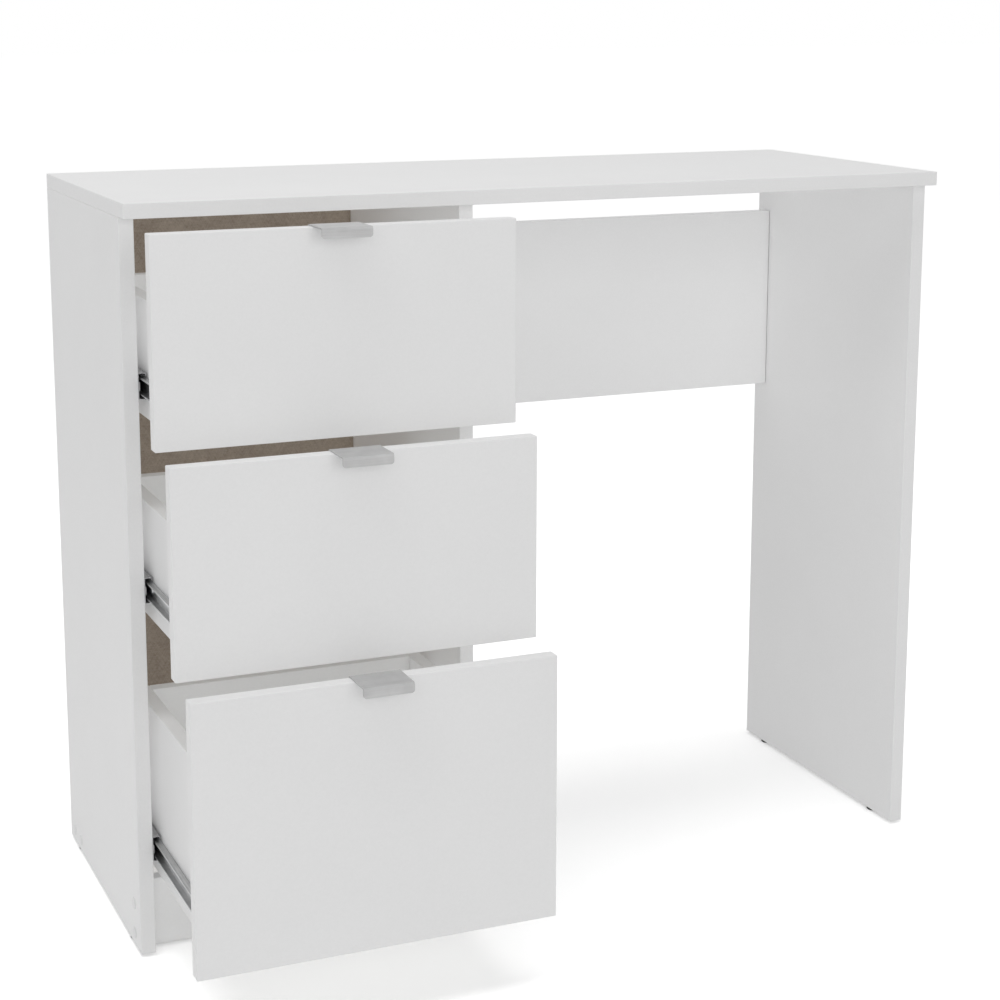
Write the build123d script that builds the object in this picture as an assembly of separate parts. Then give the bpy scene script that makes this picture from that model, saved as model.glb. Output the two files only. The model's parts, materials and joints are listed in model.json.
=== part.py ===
from build123d import *
import os

# Writing desk with a drawer pedestal on the left and an open knee space on the right.
# Sizes are in millimetres. X runs to the right, Y to the back and Z up. The origin is on the floor,
# under the centre of the desk top. The drawers stand part open.

# Desk as a whole
desk_width = 910.0
desk_depth = 360.0
desk_height = 768.0
board = 15.0  # melamine board
hardboard = 3.0  # pedestal back and drawer bottoms
edge_break = 0.6  # arris on the edge banding
joint_gap = 0.05  # around dowels, screws and pegs in their holes

# Stance
glide_height = 3.0
glide_diameter = 14.0
glide_front_inset = 49.0
glide_back_inset = 40.0
glide_edge = 0.75
glide_peg_diameter = 4.0
glide_peg_length = 12.0

# Carcass
top_overhang = 22.0  # desk top beyond the front edges of the upright panels
pedestal_width = 364.5  # over the left side and the divider
plinth_height = 72.0
plinth_setback = 18.0
rear_rail_depth = 70.0
rear_rail_lift = 6.0
modesty_height = 219.0
modesty_gap = 59.0  # open gap between the modesty panel and the desk top
modesty_setback = 12.0
back_rebate = 7.0  # how far the hardboard back reaches into each panel
back_play = 0.5
back_corner_clip = 12.0
dowel_diameter = 8.0
dowel_length = 30.0
dowel_in_top = 10.0
dowel_inset = 60.0
dowel_chamfer = 1.0

# Screws that pull the boards together, each with a cap over its head
screw_length = 50.0
screw_head_diameter = 10.0
screw_head_height = 4.0
screw_shank_diameter = 6.4
screw_socket = 4.0
screw_socket_depth = 2.5
screw_tip = 3.0
cap_diameter = 12.0
cap_thickness = 1.0
cap_edge = 0.5
cap_peg_diameter = 3.2
cap_peg_length = 2.0
hole_pitch = 32.0
lowest_screw = 13.5  # height of the lowest screws above the bottom of the panels
modesty_screw_inset = 60.0

# Drawers
front_side_reveal = 1.5
front_top_gap = 4.5
front_gap = 3.5
front_plinth_overlap = 3.0
small_front_height = 201.5
front_clearance = 2.0  # between a shut front and the panels
side_lift = 7.0  # sides above the lower edge of the front
small_side_drop = 76.5  # sides below the upper edge of a small front
large_side_drop = 86.0
drawer_back_room = 37.0
groove_depth = 6.0
groove_lift = 9.0
groove_play = 0.2
top_open_share = 0.44  # how far each drawer stands open, as a share of the full travel
middle_open_share = 0.673
bottom_open_share = 0.90

# Fittings that hold the drawer boxes together
cam_diameter = 15.0
cam_inset = 34.0  # cam centre behind the front end of the side
cam_floor = 2.5  # wood left under a cam
cam_slot_length = 10.0
cam_slot_width = 2.0
cam_slot_depth = 1.5
cam_bolt_diameter = 6.0
cam_bolt_bite = 11.0
fitting_top_inset = 18.0
fitting_pitch = 38.0

# Handle, a bent plate over the upper edge of the front
handle_width = 50.0
handle_sheet = 1.5
handle_reach = 25.0  # beyond the face of the front
handle_lip = 10.0
handle_flange = 18.0
handle_bend = 2.5
handle_corner = 3.0

# Ball-bearing slides. A slide section is drawn with its own u away from the carcass panel and v up.
slide_height = 27.0
slide_thickness = 10.0
slide_sheet = 1.2
slide_bend = 1.6
slide_setback = 3.0
slide_back_room = 32.0
slide_lift = 34.0  # slide centre line above the lower edge of the drawer side
slide_overlap = 80.0  # of the two rails when fully drawn out
slide_lip = 3.1  # turned-in edge of the outer rail
slide_tab = 1.5
slide_stop_height = 8.5
slide_carrier_height = 5.6  # tab on the inner rail that draws the cage out
slide_play = 0.3
slide_hole_diameter = 4.5
slide_hole_inset = 37.0
race_gap = 3.8  # between the facing flanges of the two rails
ball_diameter = 4.4
ball_play = 0.05
ball_count = 5
ball_share = 0.46  # ball centres away from the carcass panel, as a share of the slide's thickness
cage_web = 0.7
cage_strip = 2.0
cage_end = 6.0
cage_play = 0.4  # between the cage and the edges of the inner rail

# Levels and faces that follow from the sizes
panel_bottom = glide_height
panel_top = desk_height - board
panel_front = top_overhang - desk_depth / 2
panel_back = desk_depth / 2
left_end = -desk_width / 2
right_end = desk_width / 2
pedestal_left = left_end + board
divider_right = left_end + pedestal_width
divider_left = divider_right - board
leg_left = right_end - board
pedestal_middle = (pedestal_left + divider_left) / 2
back_face = panel_back - hardboard
plinth_front = panel_front + plinth_setback
plinth_top = panel_bottom + plinth_height
rear_rail_bottom = panel_bottom + rear_rail_lift
rear_rail_front = back_face - rear_rail_depth
modesty_top = panel_top - modesty_gap
modesty_bottom = modesty_top - modesty_height
modesty_back = panel_back - modesty_setback

drawer_front_end = panel_front - front_clearance  # back face of a shut front
drawer_back_end = back_face - drawer_back_room
drawer_left = pedestal_left + slide_thickness
drawer_right = divider_left - slide_thickness
front_left = left_end + front_side_reveal
front_right = divider_right - front_side_reveal

rail_front = panel_front + slide_setback
rail_back = back_face - slide_back_room
slide_length = rail_back - rail_front
drawer_travel = slide_length - slide_overlap
cage_length = slide_overlap - 3 * (slide_tab + slide_play)  # between the tabs of the drawn-out rails
inner_height = slide_height - 2 * (slide_sheet + race_gap)
ball_level = inner_height / 2 + race_gap / 2
ball_reach = slide_thickness * ball_share
cage_side = slide_sheet + slide_play
inner_edge = cage_side + cage_web + cage_play
outer_edge = slide_thickness - slide_sheet
cage_edge = outer_edge - slide_sheet - slide_play


def block(x0, x1, y0, y1, z0, z1):
    """A plain box between six faces."""
    centre = Pos((x0 + x1) / 2, (y0 + y1) / 2, (z0 + z1) / 2)
    return centre * Box(x1 - x0, y1 - y0, z1 - z0)


def edged_board(x0, x1, y0, y1, z0, z1):
    """A board whose edges are broken all round."""
    return chamfer(block(x0, x1, y0, y1, z0, z1).edges(), edge_break)


def rod_x(x0, x1, y, z, diameter):
    return Pos((x0 + x1) / 2, y, z) * Rot(0, 90, 0) * Cylinder(diameter / 2, abs(x1 - x0))


def rod_y(x, y0, y1, z, diameter):
    return Pos(x, (y0 + y1) / 2, z) * Rot(90, 0, 0) * Cylinder(diameter / 2, abs(y1 - y0))


def rod_z(x, y, z0, z1, diameter):
    return Pos(x, y, (z0 + z1) / 2) * Cylinder(diameter / 2, abs(z1 - z0))


def to_the_right(shape):
    """The right-hand twin of a left-hand piece of the pedestal."""
    return mirror(shape, Plane.YZ.offset(pedestal_middle))


def save(name, shape):
    export_step(shape, "parts/" + name + ".step")


def save_group(name, shapes):
    save(name, Compound(children=list(shapes)))


# Where the boards are screwed and dowelled


def plinth_seats():
    """Screws into each end of the plinth, one over the other."""
    y = plinth_front + board / 2
    z = panel_bottom + lowest_screw
    return [(y, z), (y, z + hole_pitch)]


def rear_rail_seats():
    """Screws into each end of the rear rail, side by side."""
    y = rear_rail_front + rear_rail_depth / 2
    z = rear_rail_bottom + board / 2
    return [(y - hole_pitch / 2, z), (y + hole_pitch / 2, z)]


def modesty_seats():
    y = modesty_back - board / 2
    return [(y, modesty_bottom + modesty_screw_inset), (y, modesty_top - modesty_screw_inset)]


def carcass_seats():
    """Each screw: the face that it enters at, its way in and its place on that face."""
    pedestal = plinth_seats() + rear_rail_seats()
    seats = [(left_end, 1, y, z) for y, z in pedestal]
    seats += [(divider_right, -1, y, z) for y, z in pedestal]
    seats += [(divider_left, 1, y, z) for y, z in modesty_seats()]
    seats += [(right_end, -1, y, z) for y, z in modesty_seats()]
    return seats


def screw_body(play=0.0):
    """A flat-headed screw along +Z with the top of its head at zero. Play widens it to its hole."""
    head = screw_head_diameter / 2 + play
    shank = screw_shank_diameter / 2 + play
    end = screw_length + play
    outline = Polyline(
        (0, 0),
        (head, 0),
        (shank, screw_head_height),
        (shank, end - screw_tip),
        (0, end),
        close=True,
    )
    return revolve(Plane.XZ * make_face(outline), Axis.Z)


def socket_screw():
    socket = extrude(RegularPolygon(screw_socket / 2, 6), screw_socket_depth)
    return screw_body() - socket


def along_x(shape, x, way, y, z):
    """Lays a piece drawn along +Z into the X direction, at a face."""
    return Pos(x, y, z) * Rot(0, 90 * way, 0) * shape


def screw_cap():
    """A cover cap that stands on the face, with its peg in the socket of the screw."""
    disc = Pos(0, 0, -cap_thickness / 2) * Cylinder(cap_diameter / 2, cap_thickness)
    disc = chamfer(disc.edges().group_by(Axis.Z)[0], cap_edge)
    peg = rod_z(0, 0, 0, cap_peg_length, cap_peg_diameter)
    return disc + peg


def drill_screws(shape, seats):
    tool = screw_body(joint_gap)
    for seat in seats:
        shape = shape - along_x(tool, *seat)
    return shape


def dowel_places():
    middles = [left_end + board / 2, divider_right - board / 2, right_end - board / 2]
    rows = [panel_front + dowel_inset, panel_back - dowel_inset]
    return [(x, y) for x in middles for y in rows]


def dowel_span():
    """Lower and upper end of a dowel, which stands partly in the desk top."""
    upper = panel_top + dowel_in_top
    return upper - dowel_length, upper


def drill_dowels(shape):
    low, high = dowel_span()
    for x, y in dowel_places():
        hole = rod_z(x, y, low - joint_gap, high + joint_gap, dowel_diameter + 2 * joint_gap)
        shape = shape - hole
    return shape


def glide_places():
    middles = [left_end + board / 2, divider_right - board / 2, right_end - board / 2]
    rows = [panel_front + glide_front_inset, panel_back - glide_back_inset]
    return [(x, y) for x in middles for y in rows]


def drill_glides(shape):
    top = panel_bottom + glide_peg_length + joint_gap
    for x, y in glide_places():
        shape = shape - rod_z(x, y, panel_bottom, top, glide_peg_diameter + 2 * joint_gap)
    return shape


# Carcass boards


def desk_top():
    top = edged_board(left_end, right_end, -desk_depth / 2, panel_back, panel_top, desk_height)
    return drill_dowels(top)


def upright(x0, x1):
    shape = edged_board(x0, x1, panel_front, panel_back, panel_bottom, panel_top)
    return drill_glides(drill_dowels(shape))


def back_rebate_cut(face, way):
    """The step in a panel's rear edge that takes the hardboard back."""
    far = face + way * back_rebate
    return block(min(face, far), max(face, far), back_face, panel_back, panel_bottom, panel_top)


def left_side():
    shape = upright(left_end, pedestal_left) - back_rebate_cut(pedestal_left, -1)
    return drill_screws(shape, [s for s in carcass_seats() if s[0] == left_end])


def divider():
    shape = upright(divider_left, divider_right) - back_rebate_cut(divider_left, 1)
    return drill_screws(shape, [s for s in carcass_seats() if s[0] in (divider_left, divider_right)])


def right_leg():
    return drill_screws(upright(leg_left, right_end), [s for s in carcass_seats() if s[0] == right_end])


def modesty_panel():
    y = modesty_back - board
    shape = edged_board(divider_right, leg_left, y, modesty_back, modesty_bottom, modesty_top)
    return drill_screws(shape, [s for s in carcass_seats() if s[0] in (divider_left, right_end)])


def plinth():
    y = plinth_front + board
    shape = edged_board(pedestal_left, divider_left, plinth_front, y, panel_bottom, plinth_top)
    return drill_screws(shape, [s for s in carcass_seats() if s[0] in (left_end, divider_right)])


def rear_rail():
    top = rear_rail_bottom + board
    shape = block(pedestal_left, divider_left, rear_rail_front, back_face, rear_rail_bottom, top)
    return drill_screws(shape, [s for s in carcass_seats() if s[0] in (left_end, divider_right)])


def pedestal_back():
    """The hardboard sheet, with clipped corners so that it slips into the rebates."""
    x0 = pedestal_left - back_rebate + back_play
    x1 = divider_left + back_rebate - back_play
    sheet = block(x0, x1, back_face, panel_back, rear_rail_bottom, panel_top)
    return chamfer(sheet.edges().filter_by(Axis.Y), back_corner_clip)


def glide():
    """A nail-in glide, drawn with its foot on the floor."""
    foot = rod_z(0, 0, 0, glide_height, glide_diameter)
    foot = chamfer(foot.edges().group_by(Axis.Z)[0], glide_edge)
    return foot + rod_z(0, 0, glide_height, glide_height + glide_peg_length, glide_peg_diameter)


def dowel():
    low, high = dowel_span()
    return chamfer(rod_z(0, 0, low, high, dowel_diameter).edges(), dowel_chamfer)


# Slides, drawn for the left side of a drawer with their centre line at height zero


def along_slide(section, y0, y1):
    """Draws a slide section out along Y between two ends."""
    plane = Plane(origin=(pedestal_left, y1, 0), x_dir=(1, 0, 0), z_dir=(0, -1, 0))
    return extrude(plane * section, y1 - y0)


def race_grooves():
    groove = Circle(ball_diameter / 2 + ball_play)
    return [Pos(ball_reach, v) * groove for v in (ball_level, -ball_level)]


def outer_section():
    """Roll-formed channel that lies on the panel and turns in over the balls."""
    middle = outer_edge / 2
    bend_inside = slide_bend - slide_sheet
    inside_width = outer_edge - 2 * slide_sheet
    inside_height = slide_height - 2 * slide_sheet
    shape = Pos(middle, 0) * RectangleRounded(outer_edge, slide_height, slide_bend)
    shape -= Pos(middle, 0) * RectangleRounded(inside_width, inside_height, bend_inside)
    shape -= Pos(outer_edge, 0) * Rectangle(2 * slide_bend, slide_height - 2 * slide_lip)
    for groove in race_grooves():
        shape -= groove
    return shape


def inner_section():
    """Channel on the drawer side, with its open side towards the carcass panel."""
    middle = slide_thickness / 2
    bend_inside = slide_bend - slide_sheet
    inside_width = slide_thickness - 2 * slide_sheet
    inside_height = inner_height - 2 * slide_sheet
    shape = Pos(middle, 0) * RectangleRounded(slide_thickness, inner_height, slide_bend)
    shape -= Pos(middle, 0) * RectangleRounded(inside_width, inside_height, bend_inside)
    shape -= Pos(inner_edge / 2, 0) * Rectangle(inner_edge, slide_height)
    for groove in race_grooves():
        shape -= groove
    return shape


def slide_holes(x0, x1, y0, y1):
    places = [y0 + slide_hole_inset, (y0 + y1) / 2, y1 - slide_hole_inset]
    return [rod_x(x0, x1, y, 0, slide_hole_diameter) for y in places]


def outer_rail():
    """The carcass rail, with a tab at the front that stops the cage and one at the back."""
    shape = along_slide(outer_section(), rail_front, rail_back)
    root = pedestal_left + slide_sheet
    reach = slide_stop_height / 2
    front_tip = pedestal_left + cage_side + cage_web
    back_tip = pedestal_left + slide_thickness / 2
    shape += block(root, front_tip, rail_front, rail_front + slide_tab, -reach, reach)
    shape += block(root, back_tip, rail_back - slide_tab, rail_back, -reach, reach)
    for hole in slide_holes(pedestal_left, root, rail_front, rail_back):
        shape -= hole
    return shape


def inner_rail():
    """The drawer rail as it lies when shut, with a tab at its back end that carries the cage along."""
    y1 = rail_back - slide_tab - slide_play
    y0 = y1 - slide_length
    shape = along_slide(inner_section(), y0, y1)
    web = pedestal_left + outer_edge
    tip = pedestal_left + cage_side + slide_play
    reach = slide_carrier_height / 2
    shape += block(tip, web, y1 - slide_tab, y1, -reach, reach)
    for hole in slide_holes(web, drawer_left, y0, y1):
        shape -= hole
    return shape


def cage_ends():
    """The cage as it lies when the drawer is shut. Fully drawn out it rests on the outer rail's front tab."""
    y0 = rail_front + slide_tab + slide_play + drawer_travel / 2
    return y0, y0 + cage_length


def ball_places():
    y0, y1 = cage_ends()
    step = (y1 - y0 - 2 * cage_end) / (ball_count - 1)
    rows = (ball_level, -ball_level)
    x = pedestal_left + ball_reach
    return [(x, y0 + cage_end + i * step, z) for i in range(ball_count) for z in rows]


def ball_cage():
    """Plastic strip bent round the inner rail, with a hole for each ball."""
    height = 2 * ball_level + cage_strip
    width = cage_edge - cage_side
    middle = (cage_edge + cage_side) / 2
    section = Pos(middle, 0) * Rectangle(width, height)
    section -= Pos(middle + cage_web, 0) * Rectangle(width, height - 2 * cage_strip)
    shape = along_slide(section, *cage_ends())
    for x, y, z in ball_places():
        hole = rod_z(x, y, z - cage_strip, z + cage_strip, ball_diameter + 2 * ball_play)
        shape -= hole
    return shape


def slide_balls():
    ball = Sphere(ball_diameter / 2)
    return [Pos(*place) * ball for place in ball_places()]


# Drawers, drawn shut


def drawer_levels():
    """Lower and upper edge of each front, and upper edge of its sides, from the top drawer down."""
    levels = {}
    high = panel_top - front_top_gap
    for name in ("top", "middle"):
        low = high - small_front_height
        levels[name] = (low, high, high - small_side_drop)
        high = low - front_gap
    levels["bottom"] = (plinth_top - front_plinth_overlap, high, high - large_side_drop)
    return levels


def fitting_heights(side_top):
    return [side_top - fitting_top_inset - fitting_pitch, side_top - fitting_top_inset]


def cam_bolt_x():
    return [drawer_left + board / 2, drawer_right - board / 2]


def cam_bolt(x, z):
    cam_centre = drawer_front_end + cam_inset
    return rod_y(x, drawer_front_end - cam_bolt_bite, cam_centre, z, cam_bolt_diameter)


def cam_bolt_hole(x, z):
    wide = cam_bolt_diameter + 2 * joint_gap
    start = drawer_front_end - cam_bolt_bite - joint_gap
    return rod_y(x, start, drawer_front_end + cam_inset, z, wide)


def cam(z):
    """A cam of a left side, flush with the outer face, slotted for a driver and open to its bolt."""
    y = drawer_front_end + cam_inset
    shape = rod_x(drawer_left, drawer_left + board - cam_floor, y, z, cam_diameter)
    slot = Box(2 * cam_slot_depth, cam_slot_length, cam_slot_width)
    shape -= Pos(drawer_left, y, z) * slot
    return shape - cam_bolt_hole(drawer_left + board / 2, z)


def cam_pocket(z):
    y = drawer_front_end + cam_inset
    floor = drawer_left + board - cam_floor + joint_gap
    return rod_x(drawer_left, floor, y, z, cam_diameter + 2 * joint_gap)


def back_seats(side_top):
    y = drawer_back_end - board / 2
    return [(drawer_left, 1, y, z) for z in fitting_heights(side_top)]


def groove_span(side_bottom):
    low = side_bottom + groove_lift
    return low, low + hardboard + groove_play


def drawer_side(low, side_top):
    side_bottom = low + side_lift
    inner = drawer_left + board
    shape = edged_board(drawer_left, inner, drawer_front_end, drawer_back_end, side_bottom, side_top)
    z0, z1 = groove_span(side_bottom)
    shape -= block(inner - groove_depth, inner, drawer_front_end, drawer_back_end, z0, z1)
    for z in fitting_heights(side_top):
        shape = shape - cam_pocket(z) - cam_bolt_hole(drawer_left + board / 2, z)
    return drill_screws(shape, back_seats(side_top))


def drawer_back(low, side_top):
    x0 = drawer_left + board
    x1 = drawer_right - board
    bottom = groove_span(low + side_lift)[1]
    shape = edged_board(x0, x1, drawer_back_end - board, drawer_back_end, bottom, side_top)
    shape = drill_screws(shape, back_seats(side_top))
    return to_the_right(drill_screws(to_the_right(shape), back_seats(side_top)))


def drawer_bottom(low):
    """The hardboard sheet in the grooves, which runs on under the back."""
    reach = groove_depth - groove_play
    x0 = drawer_left + board - reach
    x1 = drawer_right - board + reach
    z = groove_span(low + side_lift)[0] + groove_play
    return block(x0, x1, drawer_front_end - reach, drawer_back_end, z, z + hardboard)


def drawer_front(low, high, side_top):
    face = drawer_front_end - board
    shape = edged_board(front_left, front_right, face, drawer_front_end, low, high)
    x0 = drawer_left + board - groove_depth
    x1 = drawer_right - board + groove_depth
    z0, z1 = groove_span(low + side_lift)
    shape -= block(x0, x1, drawer_front_end - groove_depth, drawer_front_end, z0, z1)
    for x in cam_bolt_x():
        for z in fitting_heights(side_top):
            shape -= cam_bolt_hole(x, z)
    return shape


def handle(high):
    """Plate bent down behind the front, over its upper edge and down again in a finger lip."""
    tip = board + handle_reach
    lip_end = handle_sheet - handle_lip
    outline = Polyline(
        (-handle_sheet, -handle_flange),
        (-handle_sheet, handle_sheet),
        (tip, handle_sheet),
        (tip, lip_end),
        (tip - handle_sheet, lip_end),
        (tip - handle_sheet, 0),
        (0, 0),
        (0, -handle_flange),
        close=True,
    )
    section = make_face(outline)
    outside = section.vertices().group_by(Axis.Y)[-1]
    section = fillet(outside, handle_bend)
    inside = section.vertices().filter_by_position(Axis.Y, -0.01, 0.01).sort_by(Axis.X)[-1]
    section = fillet(inside, handle_bend - handle_sheet)
    middle = (front_left + front_right) / 2
    start = (middle + handle_width / 2, drawer_front_end, high)
    plate = extrude(Plane(origin=start, x_dir=(0, -1, 0), z_dir=(-1, 0, 0)) * section, handle_width)
    lip_edges = plate.edges().filter_by(Axis.Y).group_by(Axis.Y)[0]
    corners = lip_edges.group_by(Axis.Z)[0]
    return fillet(corners, handle_corner)


def save_carcass():
    save("desk_top", desk_top())
    save("left_side", left_side())
    save("divider", divider())
    save("right_leg", right_leg())
    save("modesty_panel", modesty_panel())
    save("plinth", plinth())
    save("rear_rail", rear_rail())
    save("pedestal_back", pedestal_back())
    save_group("glides", [Pos(x, y, 0) * glide() for x, y in glide_places()])
    save_group("top_dowels", [Pos(x, y, 0) * dowel() for x, y in dowel_places()])
    save_group("carcass_screws", [along_x(socket_screw(), *seat) for seat in carcass_seats()])
    save_group("screw_caps", [along_x(screw_cap(), *seat) for seat in carcass_seats()])


def save_slides(name, low, opened):
    """The two slides of a drawer. The cages run at half the drawer's speed."""
    level = low + side_lift + slide_lift
    outer = Pos(0, 0, level) * outer_rail()
    inner = Pos(0, -opened, level) * inner_rail()
    cage = Pos(0, -opened / 2, level) * ball_cage()
    balls = [Pos(0, -opened / 2, level) * ball for ball in slide_balls()]
    save(name + "_outer_rail_left", outer)
    save(name + "_outer_rail_right", to_the_right(outer))
    save(name + "_inner_rail_left", inner)
    save(name + "_inner_rail_right", to_the_right(inner))
    save(name + "_ball_cage_left", cage)
    save(name + "_ball_cage_right", to_the_right(cage))
    save_group(name + "_slide_balls", balls + [to_the_right(ball) for ball in balls])


def save_drawer(name, low, high, side_top, opened):
    out = Pos(0, -opened, 0)
    side = out * drawer_side(low, side_top)
    heights = fitting_heights(side_top)
    cams = [out * cam(z) for z in heights]
    screws = [out * along_x(socket_screw(), *seat) for seat in back_seats(side_top)]
    bolts = [out * cam_bolt(x, z) for x in cam_bolt_x() for z in heights]
    save(name + "_drawer_front", out * drawer_front(low, high, side_top))
    save(name + "_drawer_side_left", side)
    save(name + "_drawer_side_right", to_the_right(side))
    save(name + "_drawer_back", out * drawer_back(low, side_top))
    save(name + "_drawer_bottom", out * drawer_bottom(low))
    save(name + "_handle", out * handle(high))
    save_group(name + "_cams", cams + [to_the_right(piece) for piece in cams])
    save_group(name + "_cam_bolts", bolts)
    save_group(name + "_back_screws", screws + [to_the_right(piece) for piece in screws])


def main():
    os.makedirs("parts", exist_ok=True)
    save_carcass()
    open_shares = {"top": top_open_share, "middle": middle_open_share, "bottom": bottom_open_share}
    for name, (low, high, side_top) in drawer_levels().items():
        opened = drawer_travel * open_shares[name]
        save_drawer(name, low, high, side_top, opened)
        save_slides(name, low, opened)


main()
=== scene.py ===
import json
import math

import bmesh
import bpy
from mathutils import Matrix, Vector


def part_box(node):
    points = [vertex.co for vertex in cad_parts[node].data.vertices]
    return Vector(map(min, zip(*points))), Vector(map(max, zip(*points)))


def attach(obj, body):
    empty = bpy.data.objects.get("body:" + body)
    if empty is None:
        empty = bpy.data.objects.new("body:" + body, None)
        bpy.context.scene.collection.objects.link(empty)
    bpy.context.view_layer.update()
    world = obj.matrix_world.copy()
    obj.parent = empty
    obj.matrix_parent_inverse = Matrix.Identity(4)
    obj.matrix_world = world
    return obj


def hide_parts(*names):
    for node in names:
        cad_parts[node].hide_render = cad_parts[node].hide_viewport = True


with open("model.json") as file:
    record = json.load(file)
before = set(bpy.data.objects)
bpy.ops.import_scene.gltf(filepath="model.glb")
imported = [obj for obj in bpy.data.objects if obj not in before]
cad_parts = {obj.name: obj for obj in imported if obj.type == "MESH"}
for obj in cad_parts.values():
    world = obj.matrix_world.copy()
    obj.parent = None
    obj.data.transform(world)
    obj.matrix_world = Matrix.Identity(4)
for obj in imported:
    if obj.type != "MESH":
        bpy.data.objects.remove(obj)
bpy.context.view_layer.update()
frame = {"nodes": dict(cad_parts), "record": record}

DRAWERS = ("top", "middle", "bottom")
SIDES = ("left", "right")
MM = 0.001
WHITE = (1.0, 1.0, 1.0, 1.0)

# Slides
RAIL_HOLE_INSET = 37.0 * MM  # first and last screw from the ends of a rail
RAIL_SHEET = 1.2 * MM  # its thickness
BALL_DIAMETER = 4.4 * MM
BALLS_IN_ROW = 5

# Screws with a cross recess
PAN_SCREW = {
    "Head Diameter": 7.4 * MM,
    "Head Height": 2.0 * MM,
    "Recess Length": 4.0 * MM,
    "Recess Width": 0.9 * MM,
    "Recess Depth": 1.1 * MM,
}
SUNK_SCREW = {
    "Head Diameter": 4.4 * MM,
    "Head Height": 0.9 * MM,
    "Recess Length": 3.0 * MM,
    "Recess Width": 0.7 * MM,
    "Recess Depth": 0.6 * MM,
}
HANDLE_SCREW_SPAN = 30.0 * MM
HANDLE_SCREW_DROP = 10.5 * MM  # below the upper edge of the drawer front

# Nails of the back, each in its own dent
NAIL = {"Head Diameter": 4.4 * MM, "Head Height": 0.6 * MM}
DENT = {"Dent Diameter": 9.0 * MM, "Dent Floor": 4.8 * MM, "Dent Depth": 1.4 * MM}
NAIL_EDGE = 3.5 * MM  # from the long edges of the back
NAIL_END = 36.0 * MM  # from its ends
NAIL_SPACING = 95.0 * MM

# Streaks of drawn metal, in widths
STREAK_LENGTH = 60

# Wire screen whose print is on the rear of the back
WIRE_SPACING = 4.0
SCREEN_PRINT = 0.6 * MM
WAVE_REPEAT = math.tau / 20  # of a wave texture of scale 1

# Shapes of small turned and pressed heads
ROUND_SIDES = 28
BALL_SUBDIVISIONS = 3
HEAD_WALL = 0.4  # straight wall, as a share of the head's height
CROWN_RINGS = ((0.27, 0.93), (0.2, 0.84), (0.13, 0.7))  # rise as a share of the height, and narrowing
CRISP_FOLD = math.radians(35)
SCREW_SEED = 7
NAIL_SEED = 3
BALL_SEED = 5

# Open joint at the right end of the modesty panel
OPEN_JOINT = 2.2 * MM
PANEL_WELD = 0.001 * MM
BOARD_WELD = 0.01 * MM

# Camera, with its lens moved down and across
SENSOR_WIDTH = 36.0
LENS = 75.54
LENS_ACROSS = 0.01266
LENS_DOWN = -0.11607
EYE = (-0.9032, -2.1231, 0.9642)
EYE_TILT = 0.18522
EYE_TURN = -0.39908

# Floor, surround and light
FLOOR_REACH = 30.0
FLOOR_WHITE = "#e7e7e7"
FLOOR_LIFT = 0.325
FLOOR_GREY = "#e6e6e6"
GREY_FLOOR_LEVEL = -0.5 * MM
SURROUND_FILL = 0.395
ROOM_LIGHT = 0.090
ROOM_REACH = 10.0 * MM
SKY_STRENGTH = 1.15
SKY_WIDTH = math.radians(38)
DIFFUSE_BOUNCES = 10
ALL_BOUNCES = 14


# Small helpers


def linear(code):
    """Turns an sRGB hex colour into the linear values that a shader takes."""
    parts = [int(code[i : i + 2], 16) / 255 for i in (1, 3, 5)]
    return [p / 12.92 if p <= 0.04045 else ((p + 0.055) / 1.055) ** 2.4 for p in parts] + [1.0]


def put(tree, kind, into=None, stops=(), **settings):
    """Adds a node with its settings and colour stops, and fills or links its inputs.
    A node that is given for an input stands for its first output."""
    made = tree.nodes.new(kind)
    for name, value in settings.items():
        setattr(made, name, value)
    for i, (at, code) in enumerate(stops):
        elements = made.color_ramp.elements
        element = elements[i] if i < len(elements) else elements.new(at)
        element.position = at
        element.color = linear(code)
    for name, value in (into or {}).items():
        if isinstance(value, bpy.types.Node):
            value = next(end for end in value.outputs if end.enabled)
        if isinstance(value, bpy.types.NodeSocket):
            tree.links.new(value, made.inputs[name])
        else:
            made.inputs[name].default_value = value
    return made


def per_mm(size):
    """The scale of a pattern whose marks are that many millimetres apart."""
    return 1 / (size * MM)


def blank_material(name):
    """A new material with an empty tree."""
    material = bpy.data.materials.new(name)
    material.use_nodes = True
    material.node_tree.nodes.clear()
    return material, material.node_tree


def stand_in_scene(name, data):
    """A new object at the origin of the scene."""
    made = bpy.data.objects.new(name, data)
    bpy.context.scene.collection.objects.link(made)
    return made


# Finishes


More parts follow.
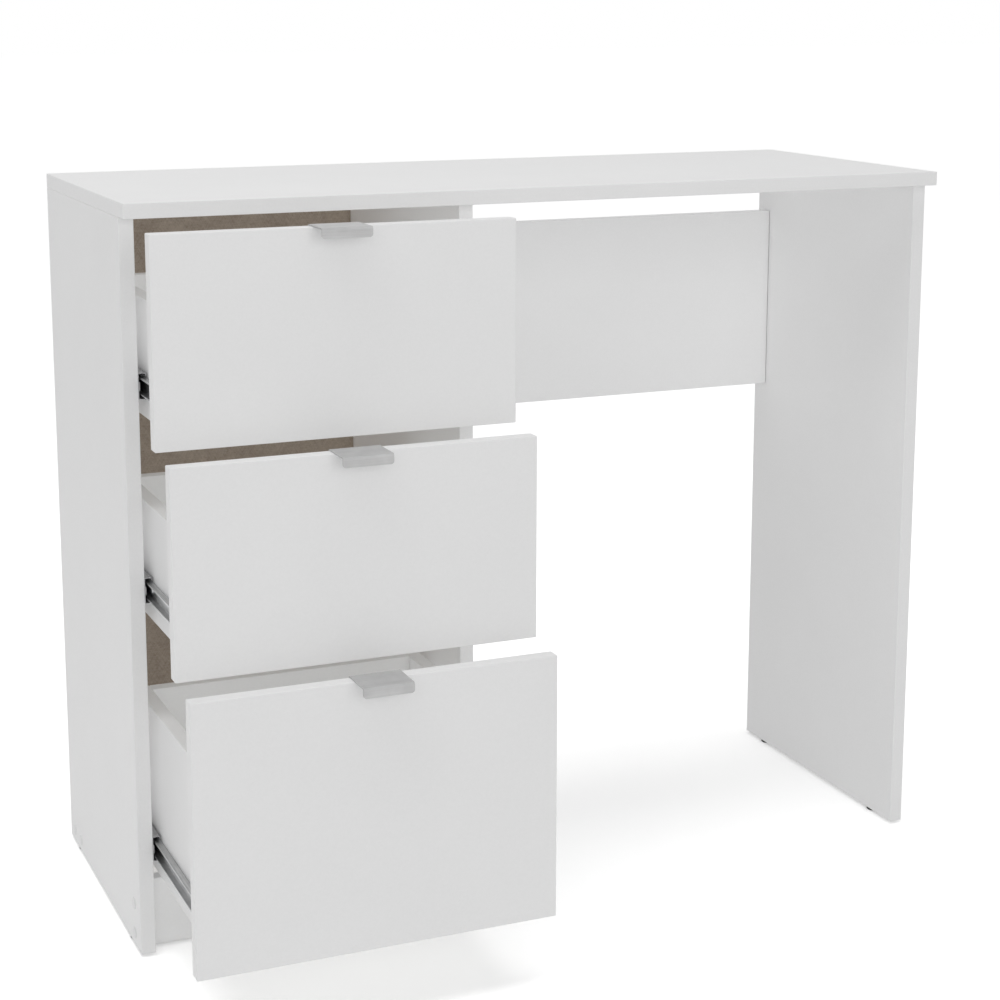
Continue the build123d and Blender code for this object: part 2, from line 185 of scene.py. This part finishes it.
def white_melamine_board():
    """Chipboard pressed with white melamine paper against a finely pearled plate.
    It reads as an even soft white with a low broad sheen. The real pearl is under 1 mm and
    would not show at the distance of the picture, so it is drawn at 2.4 mm and kept shallow."""
    material, tree = blank_material("white_melamine_board")
    place = put(tree, "ShaderNodeTexCoord").outputs["Object"]
    cloud = put(tree, "ShaderNodeTexNoise", {"Vector": place, "Scale": per_mm(140), "Detail": 3.0})
    pearl = put(tree, "ShaderNodeTexNoise", {"Vector": place, "Scale": per_mm(2.4), "Detail": 2.0})
    fleck = put(tree, "ShaderNodeTexVoronoi", {"Vector": place, "Scale": per_mm(5.0)})
    both = put(tree, "ShaderNodeMath", {0: cloud, 1: pearl}, operation="ADD")
    tone = put(tree, "ShaderNodeMath", {0: both, 1: 0.5}, operation="MULTIPLY")
    white = put(tree, "ShaderNodeValToRGB", {"Fac": tone}, stops=[(0.3, "#f0f0f0"), (0.7, "#f4f4f4")])
    sheen = put(tree, "ShaderNodeMapRange", {"Value": fleck, "To Min": 0.40, "To Max": 0.50})
    bump = put(tree, "ShaderNodeBump", {"Height": pearl, "Strength": 0.12, "Distance": 0.06 * MM})
    surface = put(
        tree,
        "ShaderNodeBsdfPrincipled",
        {"Base Color": white, "Roughness": sheen, "IOR": 1.5, "Normal": bump},
    )
    put(tree, "ShaderNodeOutputMaterial", {"Surface": surface})
    return material


def raw_hardboard():
    """Wet-pressed wood fibre left raw. Its face is a smooth dull brown, with short fibres lying every way and
    a few dark specks, and its rear keeps the print of the wire screen on which it was drained. The wires of a
    real screen lie about 1.5 mm apart and would not show, so they are drawn 4 mm apart."""
    material, tree = blank_material("raw_hardboard")
    place = put(tree, "ShaderNodeTexCoord").outputs["Object"]

    # Three layers of fibres, each turned and moved against the last. Real ones are as thin as a hair and
    # would not show, so they are drawn about 1 mm wide and 9 mm long
    felt = None
    for turn, shift in ((0.0, 0.0), (55.0, 0.3), (-60.0, 0.7)):
        laid = put(
            tree,
            "ShaderNodeMapping",
            {
                "Vector": place,
                "Location": (shift, shift, shift),
                "Rotation": (0.0, math.radians(turn), 0.0),
                "Scale": (9.0 * MM, 2.0 * MM, 1.1 * MM),
            },
            vector_type="TEXTURE",
        )
        fibre = put(
            tree,
            "ShaderNodeTexNoise",
            {"Vector": laid, "Scale": 1.0, "Detail": 4.0, "Distortion": 0.6},
        )
        third = put(tree, "ShaderNodeMath", {0: fibre, 1: 1 / 3}, operation="MULTIPLY")
        felt = put(tree, "ShaderNodeMath", {0: felt, 1: third}, operation="ADD") if felt else third
    brown = put(
        tree,
        "ShaderNodeValToRGB",
        {"Fac": felt},
        stops=[(0.36, "#938678"), (0.5, "#afa295"), (0.64, "#c6bbaf")],
    )

    # Broad lighter and darker patches, and specks of bark
    patch = put(tree, "ShaderNodeTexNoise", {"Vector": place, "Scale": per_mm(45), "Detail": 2.0})
    cloud = put(tree, "ShaderNodeValToRGB", {"Fac": patch}, stops=[(0.35, "#a2968a"), (0.65, "#bbb0a2")])
    shaded = put(tree, "ShaderNodeMixRGB", {"Fac": 0.35, "Color1": brown, "Color2": cloud})
    bark = put(tree, "ShaderNodeTexNoise", {"Vector": place, "Scale": per_mm(2.2), "Detail": 1.0})
    speck = put(
        tree,
        "ShaderNodeMapRange",
        {"Value": bark, "From Min": 0.68, "From Max": 0.76, "To Max": 0.25},
    )
    dotted = put(tree, "ShaderNodeMixRGB", {"Fac": speck, "Color1": shaded, "Color2": linear("#675a4d")})

    # The print of the screen, on the rear face only
    wires = [
        put(
            tree,
            "ShaderNodeTexWave",
            {"Vector": place, "Scale": per_mm(WIRE_SPACING) * WAVE_REPEAT, "Distortion": 0.3},
            bands_direction=way,
        )
        for way in "XZ"
    ]
    screen = put(
        tree,
        "ShaderNodeMath",
        {0: wires[0].outputs["Fac"], 1: wires[1].outputs["Fac"]},
        operation="MULTIPLY",
    )
    depth = put(tree, "ShaderNodeSeparateXYZ", {"Vector": place}).outputs["Y"]
    behind = put(
        tree,
        "ShaderNodeMath",
        {0: depth, 1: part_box("pedestal_back")[1].y - SCREEN_PRINT},
        operation="GREATER_THAN",
    )
    printed = put(tree, "ShaderNodeMath", {0: screen, 1: behind}, operation="MULTIPLY")
    hollow = put(tree, "ShaderNodeMapRange", {"Value": printed, "To Max": 0.28})
    toned = put(tree, "ShaderNodeMixRGB", {"Fac": hollow, "Color1": dotted, "Color2": linear("#75685c")})

    relief = put(tree, "ShaderNodeMath", {0: felt, 1: printed}, operation="SUBTRACT")
    bump = put(tree, "ShaderNodeBump", {"Height": relief, "Strength": 0.4, "Distance": 0.25 * MM})
    dull = put(tree, "ShaderNodeMapRange", {"Value": felt, "To Min": 0.70, "To Max": 0.92})
    surface = put(
        tree,
        "ShaderNodeBsdfPrincipled",
        {"Base Color": toned, "Roughness": dull, "IOR": 1.45, "Normal": bump},
    )
    put(tree, "ShaderNodeOutputMaterial", {"Surface": surface})
    return material


def white_lacquered_hardboard():
    """Hardboard lacquered white on its good face.
    The fibre still shows through as a faint ripple under the film. Real ripples are under 1 mm and would not
    show, so they are drawn 3 mm wide and 7 mm long."""
    material, tree = blank_material("white_lacquered_hardboard")
    place = put(tree, "ShaderNodeTexCoord").outputs["Object"]
    laid = put(
        tree,
        "ShaderNodeMapping",
        {"Vector": place, "Scale": (per_mm(7.0), per_mm(3.0), per_mm(3.0))},
    )
    fibre = put(tree, "ShaderNodeTexNoise", {"Vector": laid, "Scale": 1.0, "Detail": 4.0})
    white = put(tree, "ShaderNodeValToRGB", {"Fac": fibre}, stops=[(0.3, "#e4e4e2"), (0.7, "#ececea")])
    gloss = put(tree, "ShaderNodeMapRange", {"Value": fibre, "To Min": 0.34, "To Max": 0.48})
    bump = put(tree, "ShaderNodeBump", {"Height": fibre, "Strength": 0.25, "Distance": 0.12 * MM})
    surface = put(
        tree,
        "ShaderNodeBsdfPrincipled",
        {"Base Color": white, "Roughness": gloss, "IOR": 1.5, "Normal": bump},
    )
    put(tree, "ShaderNodeOutputMaterial", {"Surface": surface})
    return material


def moulded_plastic(name, dark, light, grit, roughness, index):
    """Moulded plastic with the spark-eroded grain of its tool: an even colour and a dull broken sheen.
    The real grain is about 0.1 mm and would not show, so grit gives a coarser one in millimetres."""
    material, tree = blank_material(name)
    place = put(tree, "ShaderNodeTexCoord").outputs["Object"]
    grain = put(tree, "ShaderNodeTexVoronoi", {"Vector": place, "Scale": per_mm(grit)})
    flow = put(tree, "ShaderNodeTexNoise", {"Vector": place, "Scale": per_mm(6 * grit), "Detail": 3.0})
    tone = put(tree, "ShaderNodeValToRGB", {"Fac": flow}, stops=[(0.3, dark), (0.7, light)])
    sheen = put(
        tree,
        "ShaderNodeMapRange",
        {"Value": grain, "To Min": roughness - 0.08, "To Max": roughness + 0.08},
    )
    bump = put(tree, "ShaderNodeBump", {"Height": grain, "Strength": 0.2, "Distance": 0.05 * MM})
    surface = put(
        tree,
        "ShaderNodeBsdfPrincipled",
        {"Base Color": tone, "Roughness": sheen, "IOR": index, "Normal": bump},
    )
    put(tree, "ShaderNodeOutputMaterial", {"Surface": surface})
    return material


def drawn_metal(name, dark, light, line, along, low, high, bare=1.0):
    """Metal with lines left by rolling, brushing or turning: streaks of slightly different grey and gloss.
    The lines run along one axis. Real ones are about 0.1 mm wide and would not show, so line gives a
    coarser width in millimetres. Low and high are the least and the most roughness, and bare is the share
    of the surface that still mirrors like bare metal under its skin."""
    material, tree = blank_material(name)
    place = put(tree, "ShaderNodeTexCoord").outputs["Object"]
    stretch = [per_mm(line)] * 3
    stretch["XYZ".index(along)] = per_mm(STREAK_LENGTH * line)
    laid = put(tree, "ShaderNodeMapping", {"Vector": place, "Scale": stretch})
    streak = put(
        tree,
        "ShaderNodeTexNoise",
        {"Vector": laid, "Scale": 1.0, "Detail": 3.0, "Roughness": 0.6},
    )
    bloom = put(tree, "ShaderNodeTexNoise", {"Vector": place, "Scale": per_mm(14), "Detail": 2.0})
    both = put(tree, "ShaderNodeMath", {0: streak, 1: bloom}, operation="ADD")
    tone = put(tree, "ShaderNodeMath", {0: both, 1: 0.5}, operation="MULTIPLY")
    grey = put(tree, "ShaderNodeValToRGB", {"Fac": tone}, stops=[(0.3, dark), (0.7, light)])
    gloss = put(tree, "ShaderNodeMapRange", {"Value": tone, "To Min": low, "To Max": high})
    bump = put(tree, "ShaderNodeBump", {"Height": streak, "Strength": 0.15, "Distance": 0.03 * MM})
    surface = put(
        tree,
        "ShaderNodeBsdfPrincipled",
        {"Base Color": grey, "Metallic": bare, "Roughness": gloss, "Normal": bump},
    )
    put(tree, "ShaderNodeOutputMaterial", {"Surface": surface})
    return material


def turned_beech():
    """Steamed beech turned into a rod: pale pinkish brown with fine dark flecks along the grain."""
    material, tree = blank_material("turned_beech")
    place = put(tree, "ShaderNodeTexCoord").outputs["Object"]
    laid = put(
        tree,
        "ShaderNodeMapping",
        {"Vector": place, "Scale": (per_mm(0.8), per_mm(0.8), per_mm(7.0))},
    )
    fleck = put(tree, "ShaderNodeTexNoise", {"Vector": laid, "Scale": 1.0, "Detail": 3.0})
    wood = put(
        tree,
        "ShaderNodeValToRGB",
        {"Fac": fleck},
        stops=[(0.3, "#b98f66"), (0.55, "#d9b88f"), (0.75, "#e3c7a3")],
    )
    dull = put(tree, "ShaderNodeMapRange", {"Value": fleck, "To Min": 0.5, "To Max": 0.7})
    surface = put(tree, "ShaderNodeBsdfPrincipled", {"Base Color": wood, "Roughness": dull, "IOR": 1.5})
    put(tree, "ShaderNodeOutputMaterial", {"Surface": surface})
    return material


FINISHES = {
    "white_board": white_melamine_board(),
    "raw_hardboard": raw_hardboard(),
    "white_hardboard": white_lacquered_hardboard(),
    # Glides of black polyethylene, with a coarse matt grain that hides scuffs
    "black_glide": moulded_plastic(
        "black_polyethylene", dark="#141414", light="#1e1e1e", grit=0.9, roughness=0.55, index=1.51
    ),
    "beech_dowel": turned_beech(),
    # Screws, cams and nails in bright zinc plate, tumbled to a soft shine
    "zinc_fitting": drawn_metal(
        "bright_zinc_plate", dark="#a9abad", light="#c4c5c6", line=0.5, along="X", low=0.28, high=0.42
    ),
    # Caps of white polypropylene, a shade duller than the boards
    "white_cap": moulded_plastic(
        "white_polypropylene", dark="#e9e9e9", light="#eeeeee", grit=0.8, roughness=0.45, index=1.49
    ),
    # Rails of zinc-plated strip: the rolling lines run the length of the rail
    "zinc_rail": drawn_metal(
        "rolled_zinc_strip", dark="#b0b1b2", light="#cbcbcb", line=0.7, along="Y", low=0.32, high=0.46
    ),
    # Handles of brushed aluminium plate, the lines across their width. The etched and anodised skin is milky,
    # so that the top and the lip look almost equally grey
    "satin_handle": drawn_metal(
        "satin_anodised_aluminium",
        dark="#b0b0b0",
        light="#c4c4c4",
        line=1.3,
        along="X",
        low=0.46,
        high=0.56,
        bare=0.3,
    ),
    # Ball cages of black acetal, smooth and slightly greasy in the light
    "black_cage": moulded_plastic(
        "black_acetal", dark="#262627", light="#303031", grit=0.7, roughness=0.42, index=1.48
    ),
    # Bearing balls, ground and polished until they mirror
    "steel_ball": drawn_metal(
        "polished_bearing_steel", dark="#c3c4c6", light="#cfd0d1", line=0.4, along="Y", low=0.06, high=0.12
    ),
}


def dress_nodes():
    """Gives every carried-over node the finish of its slot."""
    for row in frame["record"]["subparts"]:
        node = frame["nodes"][row["node"]]
        node.data.materials.clear()
        node.data.materials.append(FINISHES[row["material_slot"]])


# Small fittings, set out by node trees


def fitting_tree(name, sizes, carrier=False):
    """An empty tree with a named input for each size and for the finish.
    If a carrier is wanted, there is also one for the piece that the fittings go into."""
    tree = bpy.data.node_groups.new(name, "GeometryNodeTree")
    face = tree.interface
    face.new_socket("Geometry", in_out="INPUT", socket_type="NodeSocketGeometry")
    for label in sizes:
        face.new_socket(label, in_out="INPUT", socket_type="NodeSocketFloat")
    if carrier:
        face.new_socket("Carrier", in_out="INPUT", socket_type="NodeSocketObject")
    face.new_socket("Finish", in_out="INPUT", socket_type="NodeSocketMaterial")
    face.new_socket("Geometry", in_out="OUTPUT", socket_type="NodeSocketGeometry")
    return tree, put(tree, "NodeGroupInput").outputs


def at_each_place(tree, given, shape, seed):
    """Sets the shape at every point, facing the way the point says and turned by chance about its axis."""
    way = put(tree, "GeometryNodeInputNamedAttribute", {"Name": "facing"}, data_type="FLOAT_VECTOR")
    aimed = put(tree, "FunctionNodeAlignRotationToVector", {"Vector": way}, axis="Z")
    chance = put(
        tree,
        "FunctionNodeRandomValue",
        {"Min": 0.0, "Max": math.tau, "Seed": seed},
        data_type="FLOAT",
    )
    twist = put(tree, "FunctionNodeAxisAngleToRotation", {"Axis": (0.0, 0.0, 1.0), "Angle": chance})
    turned = put(
        tree,
        "FunctionNodeRotateRotation",
        {"Rotation": aimed, "Rotate By": twist},
        rotation_space="LOCAL",
    )
    rows = put(
        tree,
        "GeometryNodeInstanceOnPoints",
        {"Points": given["Geometry"], "Instance": shape, "Rotation": turned},
    )
    return put(tree, "GeometryNodeRealizeInstances", {"Geometry": rows})


def dress_shape(tree, given, shape):
    """Shades the shape smooth, keeps its folds crisp, and gives it its finish."""
    fold = put(tree, "GeometryNodeInputMeshEdgeAngle").outputs["Unsigned Angle"]
    crisp = put(tree, "FunctionNodeCompare", {"A": fold, "B": CRISP_FOLD}, operation="GREATER_THAN")
    smooth = put(tree, "GeometryNodeSetShadeSmooth", {"Geometry": shape}, domain="FACE")
    sharp = put(
        tree,
        "GeometryNodeSetShadeSmooth",
        {"Geometry": smooth, "Selection": crisp, "Shade Smooth": False},
        domain="EDGE",
    )
    dressed = put(tree, "GeometryNodeSetMaterial", {"Geometry": sharp, "Material": given["Finish"]})
    put(tree, "NodeGroupOutput", {"Geometry": dressed})


def domed_head(tree, given):
    """A turned head: a short wall, then rings that close in towards a flat crown."""
    height = given["Head Height"]
    radius = put(tree, "ShaderNodeMath", {0: given["Head Diameter"], 1: 0.5}, operation="MULTIPLY")
    wall = put(tree, "ShaderNodeMath", {0: height, 1: HEAD_WALL}, operation="MULTIPLY")
    drum = put(
        tree,
        "GeometryNodeMeshCylinder",
        {"Vertices": ROUND_SIDES, "Radius": radius, "Depth": wall},
    )
    middle = put(tree, "ShaderNodeMath", {0: wall, 1: 0.5}, operation="MULTIPLY")
    lift = put(tree, "ShaderNodeCombineXYZ", {"Z": middle})
    head = put(tree, "GeometryNodeSetPosition", {"Geometry": drum, "Offset": lift})
    crown = drum.outputs["Top"]
    for share, narrowing in CROWN_RINGS:
        rise = put(tree, "ShaderNodeMath", {0: height, 1: share}, operation="MULTIPLY")
        ring = put(
            tree,
            "GeometryNodeExtrudeMesh",
            {"Mesh": head, "Selection": crown, "Offset Scale": rise, "Individual": False},
        )
        crown = ring.outputs["Top"]
        head = put(
            tree,
            "GeometryNodeScaleElements",
            {"Geometry": ring, "Selection": crown, "Scale": narrowing},
        )
    return head


def cross_screw_tree():
    """Pan heads with a cross recess."""
    tree, given = fitting_tree("cross_screws", PAN_SCREW)
    head = domed_head(tree, given)
    deep = put(tree, "ShaderNodeMath", {0: given["Recess Depth"], 1: 2.0}, operation="MULTIPLY")
    lift = put(tree, "ShaderNodeCombineXYZ", {"Z": given["Head Height"]})
    for long_way, short_way in ("XY", "YX"):
        size = put(
            tree,
            "ShaderNodeCombineXYZ",
            {long_way: given["Recess Length"], short_way: given["Recess Width"], "Z": deep},
        )
        bar = put(tree, "GeometryNodeMeshCube", {"Size": size})
        raised = put(tree, "GeometryNodeSetPosition", {"Geometry": bar, "Offset": lift})
        head = put(
            tree,
            "GeometryNodeMeshBoolean",
            {"Mesh 1": head, "Mesh 2": raised},
            operation="DIFFERENCE",
            solver="EXACT",
        )
    dress_shape(tree, given, at_each_place(tree, given, head, SCREW_SEED))
    return tree


def nail_tree():
    """Flat round nail heads, a little domed by the hammer."""
    tree, given = fitting_tree("nails", NAIL)
    dress_shape(tree, given, at_each_place(tree, given, domed_head(tree, given), NAIL_SEED))
    return tree


def dented_board_tree():
    """A board with a shallow dent where each nail is driven home."""
    tree, given = fitting_tree("dented_board", DENT, carrier=True)
    wide = put(tree, "ShaderNodeMath", {0: given["Dent Diameter"], 1: 0.5}, operation="MULTIPLY")
    narrow = put(tree, "ShaderNodeMath", {0: given["Dent Floor"], 1: 0.5}, operation="MULTIPLY")
    dish = put(
        tree,
        "GeometryNodeMeshCone",
        {
            "Vertices": ROUND_SIDES,
            "Radius Top": wide,
            "Radius Bottom": narrow,
            "Depth": given["Dent Depth"],
        },
    )
    dishes = at_each_place(tree, given, dish, NAIL_SEED)
    board = put(tree, "GeometryNodeObjectInfo", {"Object": given["Carrier"]}).outputs["Geometry"]
    closed = put(tree, "GeometryNodeMergeByDistance", {"Geometry": board, "Distance": BOARD_WELD})
    dented = put(
        tree,
        "GeometryNodeMeshBoolean",
        {"Mesh 1": closed, "Mesh 2": dishes},
        operation="DIFFERENCE",
        solver="EXACT",
    )
    dress_shape(tree, given, dented)
    return tree


def ball_tree():
    """Bearing balls."""
    tree, given = fitting_tree("bearing_balls", ("Diameter",))
    radius = put(tree, "ShaderNodeMath", {0: given["Diameter"], 1: 0.5}, operation="MULTIPLY")
    ball = put(tree, "GeometryNodeMeshIcoSphere", {"Radius": radius, "Subdivisions": BALL_SUBDIVISIONS})
    dress_shape(tree, given, at_each_place(tree, given, ball, BALL_SEED))
    return tree


CROSS_SCREWS = cross_screw_tree()
NAILS = nail_tree()
DENTED_BOARD = dented_board_tree()
BALLS = ball_tree()


def keep_plain(piece):
    """Turns what the modifiers make into the piece's own mesh."""
    made = piece.evaluated_get(bpy.context.evaluated_depsgraph_get())
    mesh = bpy.data.meshes.new_from_object(made)
    piece.modifiers.clear()
    piece.data = mesh
    mesh.name = piece.name


def set_out(name, tree, places, sizes, slot, body):
    """Sets a row of fittings at their places, each with the way it faces, as one plain mesh on its body."""
    mesh = bpy.data.meshes.new(name)
    mesh.from_pydata([place for place, way in places], [], [])
    facing = mesh.attributes.new("facing", "FLOAT_VECTOR", "POINT")
    facing.data.foreach_set("vector", [part for place, way in places for part in way])
    piece = stand_in_scene(name, mesh)
    modifier = piece.modifiers.new("set_out", "NODES")
    modifier.node_group = tree
    values = dict(sizes, Finish=FINISHES[slot])
    for socket in tree.interface.items_tree:
        if socket.in_out == "INPUT" and socket.name in values:
            modifier[socket.identifier] = values[socket.name]
    keep_plain(piece)
    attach(piece, body)
    return piece


# Pieces


def rail_rows(node):
    """A rail's box, half its height, and the three hole places along it."""
    low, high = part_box(node)
    level = (low.z + high.z) / 2
    return low, high, level, (low.y + RAIL_HOLE_INSET, (low.y + high.y) / 2, high.y - RAIL_HOLE_INSET)


def carcass_rail_screws():
    """Countersunk screws that lie flush in the outer rails, so that the cages pass over them."""
    places = []
    for drawer in DRAWERS:
        for side in SIDES:
            low, high, level, rows = rail_rows(f"{drawer}_outer_rail_{side}")
            panel, way = (low.x, 1) if side == "left" else (high.x, -1)
            places += [((panel, y, level), (way, 0, 0)) for y in rows]
    set_out("carcass_rail_screws", CROSS_SCREWS, places, SUNK_SCREW, "zinc_fitting", "carcass")


def drawer_screws(drawer):
    """Pan-head screws in the channel of the inner rails, and the two that hold the handle's flange."""
    places = []
    for side in SIDES:
        low, high, level, rows = rail_rows(f"{drawer}_inner_rail_{side}")
        web, way = (high.x - RAIL_SHEET, -1) if side == "left" else (low.x + RAIL_SHEET, 1)
        places += [((web, y, level), (way, 0, 0)) for y in rows]
    low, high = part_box(f"{drawer}_handle")
    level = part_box(f"{drawer}_drawer_front")[1].z - HANDLE_SCREW_DROP
    for share in (-0.5, 0.5):
        across = (low.x + high.x) / 2 + share * HANDLE_SCREW_SPAN
        places.append(((across, high.y, level), (0, 1, 0)))
    set_out(f"{drawer}_drawer_screws", CROSS_SCREWS, places, PAN_SCREW, "zinc_fitting", f"{drawer}_drawer")


def slide_balls(drawer):
    """Two rows of round balls in each cage, where the slide's own balls lie."""
    node = f"{drawer}_slide_balls"
    low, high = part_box(node)
    radius = Vector((BALL_DIAMETER / 2,) * 3)
    first, last = low + radius, high - radius
    step = (last.y - first.y) / (BALLS_IN_ROW - 1)
    places = [
        ((x, first.y + i * step, z), (0, 0, 1))
        for x in (first.x, last.x)
        for z in (first.z, last.z)
        for i in range(BALLS_IN_ROW)
    ]
    sizes = {"Diameter": BALL_DIAMETER}
    balls = set_out(f"{drawer}_polished_balls", BALLS, places, sizes, "steel_ball", f"{drawer}_cages")
    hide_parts(node)


def evenly(start, end, spacing):
    """Places from start to end, as near to that spacing as an even row can be."""
    gaps = max(1, round((end - start) / spacing))
    return [start + i * (end - start) / gaps for i in range(gaps + 1)]


def nailed_back():
    """The hardboard back, nailed to the edges of the two panels and to the rear rail."""
    node = "pedestal_back"
    low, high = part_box(node)
    rail_low, rail_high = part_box("rear_rail")
    spots = [
        (x, z)
        for x in (low.x + NAIL_EDGE, high.x - NAIL_EDGE)
        for z in evenly(low.z + NAIL_END, high.z - NAIL_END, NAIL_SPACING)
    ]
    foot = (rail_low.z + rail_high.z) / 2
    spots += [(x, foot) for x in evenly(low.x + NAIL_END, high.x - NAIL_END, NAIL_SPACING)]
    floor = high.y - DENT["Dent Depth"] / 2
    places = [((x, floor, z), (0, 1, 0)) for x, z in spots]
    sizes = dict(DENT, Carrier=frame["nodes"][node])
    board = set_out("nailed_back", DENTED_BOARD, places, sizes, "raw_hardboard", "carcass")
    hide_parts(node)
    set_out("back_nails", NAILS, places, NAIL, "zinc_fitting", "carcass")


def shortened_modesty_panel():
    """The modesty panel, cut a little short of the right leg, where the open joint shows as a dark line."""
    node = frame["nodes"]["modesty_panel"]
    right_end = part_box("modesty_panel")[1].x
    mesh = node.data.copy()
    mesh.transform(node.matrix_world)
    shape = bmesh.new()
    shape.from_mesh(mesh)
    bmesh.ops.remove_doubles(shape, verts=shape.verts, dist=PANEL_WELD)
    for corner in shape.verts:
        if corner.co.x > right_end - PANEL_WELD:
            corner.co.x -= OPEN_JOINT
    shape.to_mesh(mesh)
    shape.free()
    panel = stand_in_scene("shortened_modesty_panel", mesh)
    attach(panel, "carcass")
    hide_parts("modesty_panel")


dress_nodes()
carcass_rail_screws()
for drawer in DRAWERS:
    drawer_screws(drawer)
    slide_balls(drawer)
nailed_back()
shortened_modesty_panel()


# The room: a pale floor, a white surround and soft light


def where_white_shows(tree):
    """One for rays that come from the camera, off metal or through glass, and nought for the rest."""
    path = put(tree, "ShaderNodeLightPath").outputs
    direct = put(
        tree,
        "ShaderNodeMath",
        {0: path["Is Camera Ray"], 1: path["Is Glossy Ray"]},
        operation="MAXIMUM",
    )
    return put(tree, "ShaderNodeMath", {0: direct, 1: path["Is Transmission Ray"]}, operation="MAXIMUM")


def broad_floor(name, level):
    """A floor that runs out to the horizon, and the empty tree of its material."""
    mesh = bpy.data.meshes.new(name)
    corners = [(x * FLOOR_REACH, y * FLOOR_REACH, level) for x, y in ((-1, -1), (1, -1), (1, 1), (-1, 1))]
    mesh.from_pydata(corners, [], [(0, 1, 2, 3)])
    floor = stand_in_scene(name, mesh)
    material, tree = blank_material(name)
    mesh.materials.append(material)
    return floor, tree


def white_floor():
    """The floor as it is seen, lifted to white, with the desk's shadow left on it.
    It keeps out of the light that the desk gets, which comes from the grey floor below it."""
    floor, tree = broad_floor("white_floor", 0.0)
    matt = put(tree, "ShaderNodeBsdfDiffuse", {"Color": linear(FLOOR_WHITE)})
    glow = put(tree, "ShaderNodeEmission", {"Color": WHITE, "Strength": FLOOR_LIFT})
    lifted = put(tree, "ShaderNodeAddShader", {0: matt, 1: glow})
    clear = put(tree, "ShaderNodeBsdfTransparent")
    seen = put(tree, "ShaderNodeMixShader", {0: where_white_shows(tree), 1: clear, 2: lifted})
    put(tree, "ShaderNodeOutputMaterial", {"Surface": seen})
    floor.visible_shadow = False
    floor.visible_diffuse = False
    return floor


def grey_floor():
    """A pale grey floor that only passes light on to the desk."""
    tree = broad_floor("grey_floor", GREY_FLOOR_LEVEL)[1]
    matt = put(tree, "ShaderNodeBsdfDiffuse", {"Color": linear(FLOOR_GREY)})
    put(tree, "ShaderNodeOutputMaterial", {"Surface": matt})


def white_surround():
    """The surround shows white and gives an even soft fill. Every surface also gets a little of the light
    that a pale room passes back and forth, down into the open drawers."""
    world = bpy.data.worlds.new("white_surround")
    bpy.context.scene.world = world
    world.use_nodes = True
    tree = world.node_tree
    tree.nodes.clear()
    soft = put(tree, "ShaderNodeBackground", {"Color": WHITE, "Strength": SURROUND_FILL})
    white = put(tree, "ShaderNodeBackground", {"Color": WHITE, "Strength": 1.0})
    both = put(tree, "ShaderNodeMixShader", {0: where_white_shows(tree), 1: soft, 2: white})
    put(tree, "ShaderNodeOutputWorld", {"Surface": both})
    cycles = bpy.context.scene.cycles
    cycles.use_fast_gi = True
    cycles.fast_gi_method = "ADD"
    world.light_settings.ao_factor = ROOM_LIGHT
    world.light_settings.distance = ROOM_REACH


def softbox(name, place, aim, width, height, power):
    """A broad soft lamp that shines from its place towards its aim and is itself out of sight."""
    light = bpy.data.lights.new(name, "AREA")
    light.shape = "RECTANGLE"
    light.size = width
    light.size_y = height
    light.energy = power
    lamp = stand_in_scene(name, light)
    lamp.visible_camera = False
    lamp.location = place
    lamp.rotation_euler = (Vector(aim) - Vector(place)).to_track_quat("-Z", "Y").to_euler()


def open_sky(floor):
    """A broad even light from straight above, for the floor alone.
    On it the desk stands in its own soft shadow."""
    light = bpy.data.lights.new("open_sky", "SUN")
    light.energy = SKY_STRENGTH
    light.angle = SKY_WIDTH
    lamp = stand_in_scene("open_sky", light)
    lamp.light_linking.receiver_collection = bpy.data.collections.new("open_sky")
    lamp.light_linking.receiver_collection.objects.link(floor)


def camera():
    """Stands to the left of the desk and a little above it."""
    data = bpy.data.cameras.new("camera")
    data.sensor_width = SENSOR_WIDTH
    data.lens = LENS
    data.shift_x = LENS_ACROSS
    data.shift_y = LENS_DOWN
    eye = stand_in_scene("camera", data)
    eye.location = EYE
    eye.rotation_euler = (math.pi / 2 - EYE_TILT, 0.0, EYE_TURN)
    bpy.context.scene.camera = eye


open_sky(white_floor())
grey_floor()
white_surround()
softbox("front_left", (-2.0, -3.4, 1.7), (0.0, 0.0, 0.4), width=1.8, height=1.6, power=10.6)
softbox("front", (0.2, -4.2, 1.6), (0.0, 0.0, 0.4), width=2.0, height=1.6, power=19.5)
softbox("over", (0.0, -0.3, 3.2), (0.0, 0.0, 0.7), width=2.0, height=2.0, power=7.2)
softbox("over_left", (-1.5, -0.5, 3.2), (0.0, 0.0, 0.5), width=1.6, height=1.6, power=14.4)
camera()

bpy.context.scene.view_settings.view_transform = "Standard"
# White boards pass light on many times before it is lost
bpy.context.scene.cycles.diffuse_bounces = DIFFUSE_BOUNCES
bpy.context.scene.cycles.max_bounces = ALL_BOUNCES
